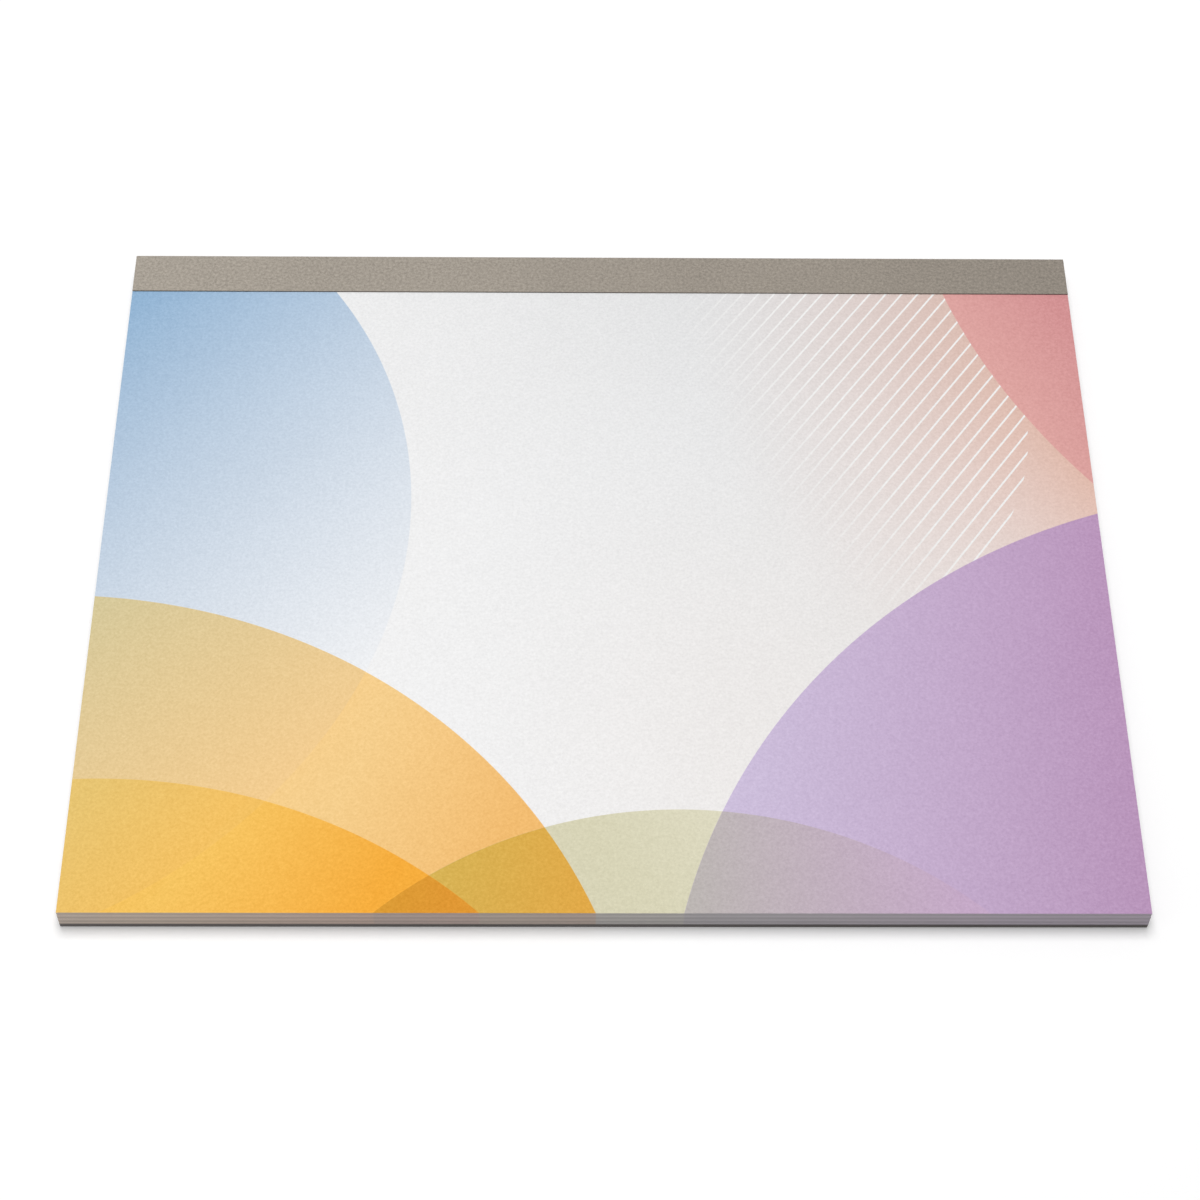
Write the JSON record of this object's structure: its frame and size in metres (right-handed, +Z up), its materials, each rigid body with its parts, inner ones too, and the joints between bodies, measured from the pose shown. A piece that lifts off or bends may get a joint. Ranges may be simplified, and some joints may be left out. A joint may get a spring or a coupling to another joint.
{
  "type": "desk pad",
  "caption": "Flat rectangular desk pad of printed tear-off sheets on a greyboard backing, glued at the head and bound there with a folded card strip.",
  "frame": {"origin": "middle of the pad's footprint, on the surface that it lies on", "axes": "+X to the right along the width, +Y from the front edge to the bound head edge, +Z up out of the printed sheet"},
  "size_m": [0.5, 0.401, 0.0136],
  "materials": {
    "greyboard": "rough grey recycled board, cut edge darker",
    "printed_paper": "matt uncoated paper, printed with large translucent discs",
    "padding_glue": "dried white padding glue",
    "strip_card": "speckled grey-brown card"
  },
  "bodies": {
    "root": {"backing_board": "greyboard", "sheet_block": "printed_paper", "head_glue": "padding_glue", "binding_strip": "strip_card"}
  },
  "joints": []
}
